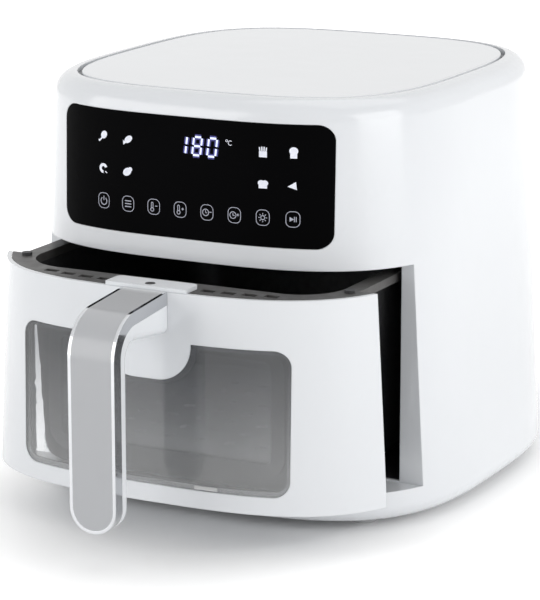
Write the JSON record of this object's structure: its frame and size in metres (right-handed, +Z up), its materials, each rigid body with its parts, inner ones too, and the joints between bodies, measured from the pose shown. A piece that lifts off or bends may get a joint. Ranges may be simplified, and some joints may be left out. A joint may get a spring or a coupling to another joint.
{
  "type": "air fryer",
  "caption": "Countertop hot-air fryer: squarish rounded housing with a touch panel and a pull-out drawer with viewing window and bent bar handle.",
  "frame": {"origin": "on the floor, under the centre of the housing's plan", "axes": "+Z up, -Y towards the front with the handle, +X to the right seen from the front"},
  "size_m": [0.3338, 0.4699, 0.3],
  "materials": {
    "white_gloss": "gloss",
    "black_panel": "gloss",
    "grey_insert": "satin",
    "chrome_trim": "polished",
    "clear_window": "gloss",
    "rim_grey": "satin",
    "black_coat": "satin",
    "dark_plastic": "matte",
    "rubber": "matte",
    "steel": "satin",
    "circuit_board": "matte",
    "display": "matte"
  },
  "bodies": {
    "housing": {"housing_shell": "white_gloss", "top_cover": "white_gloss", "base_plate": "dark_plastic", "base_screws": "steel", "feet": "rubber", "control_glass": "black_panel", "panel_carrier": "rim_grey", "control_board": "circuit_board", "display_module": "display", "cavity_liner": "black_coat", "guide_rails": "dark_plastic", "heater_reflector": "steel", "heating_element": "steel", "element_clips": "steel", "fan_guard": "steel", "motor": "steel", "motor_mount": "steel", "temperature_probe": "steel", "thermal_cutout": "steel", "power_board": "circuit_board", "board_spacers": "dark_plastic", "reed_switch": "dark_plastic", "rear_grille": "rim_grey", "cord_gland": "rim_grey"},
    "drawer": {"drawer_front": "white_gloss", "drawer_magnet": "steel", "window_pane": "clear_window", "window_gasket": "rubber", "pan": "black_coat", "pan_window": "clear_window", "pan_window_frame": "black_coat", "pan_runners": "dark_plastic", "drawer_rim": "rim_grey", "rim_screws": "steel", "handle_grip": "white_gloss", "handle_trim": "chrome_trim", "handle_insert": "grey_insert", "handle_screws": "steel", "handle_bridge": "white_gloss", "screw_plug": "dark_plastic"},
    "crisper": {"crisper_plate": "black_coat", "crisper_feet": "rubber"},
    "fan_rotor": {"hot_air_fan": "steel", "cooling_fan": "dark_plastic", "motor_shaft": "steel"}
  },
  "joints": [
    {"name": "drawer_slide", "type": "slide", "parent": "housing", "child": "drawer", "axis": [0, -1, 0], "range_m": [-0.058, 0.18]},
    {"name": "crisper_lift", "type": "slide", "parent": "drawer", "child": "crisper", "axis": [0, 0, 1], "range_m": [0, 0.11]},
    {"name": "fan_spin", "type": "hinge", "parent": "housing", "child": "fan_rotor", "pos_m": [0, 0.011, 0.209], "axis": [0, 0, 1], "continuous": true}
  ]
}
